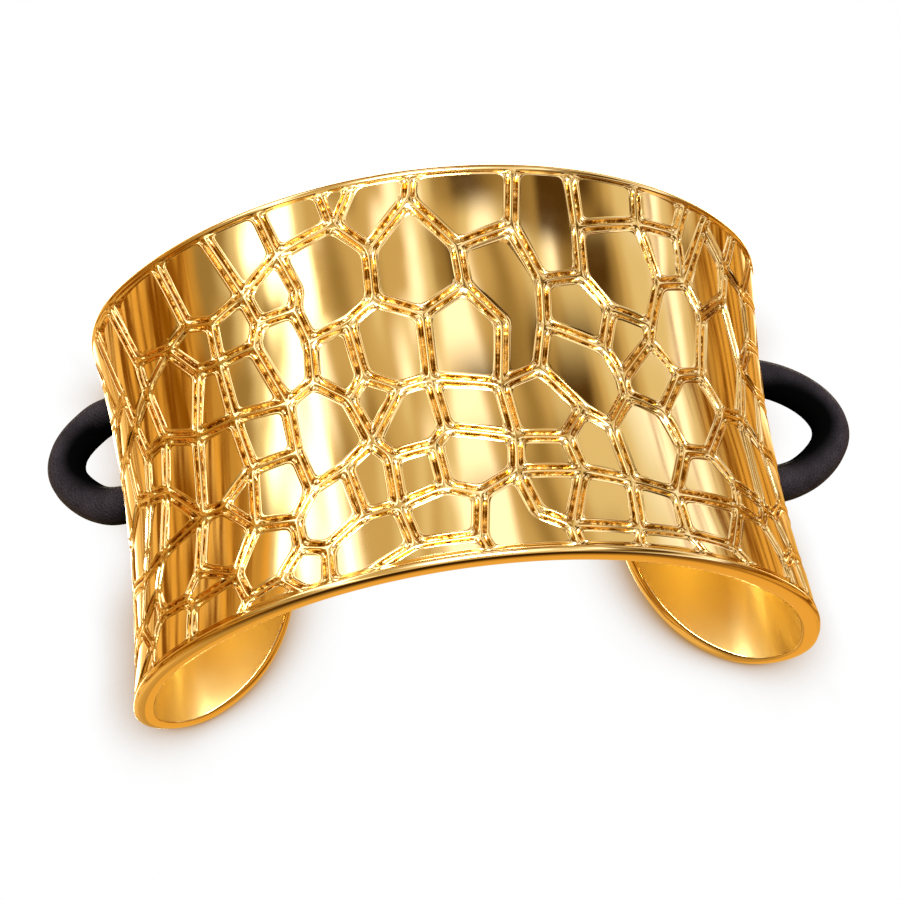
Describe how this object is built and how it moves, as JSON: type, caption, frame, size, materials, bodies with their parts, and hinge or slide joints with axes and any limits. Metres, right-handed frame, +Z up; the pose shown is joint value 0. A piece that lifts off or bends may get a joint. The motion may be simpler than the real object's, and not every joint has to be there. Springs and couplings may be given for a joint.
{
  "type": "ponytail cuff",
  "caption": "Curved metal hair cuff with raised reptile-skin relief, open between two curled-in ends and threaded with a loop of hair elastic.",
  "frame": {"origin": "on the surface that the cuff rests on, under the middle of its bounding box", "axes": "+X across the cuff from its left curl to its right curl, +Y along the ponytail's axis from the near rim to the far rim, +Z up from the gap towards the crown"},
  "size_m": [0.0736, 0.037, 0.0311],
  "materials": {
    "gold_metal": "mirror-polished pads over hammered channels, satin inner face",
    "black_elastic": "matte braided cover"
  },
  "bodies": {
    "root": {"cuff_band": "gold_metal", "hair_elastic": "black_elastic"}
  },
  "joints": []
}
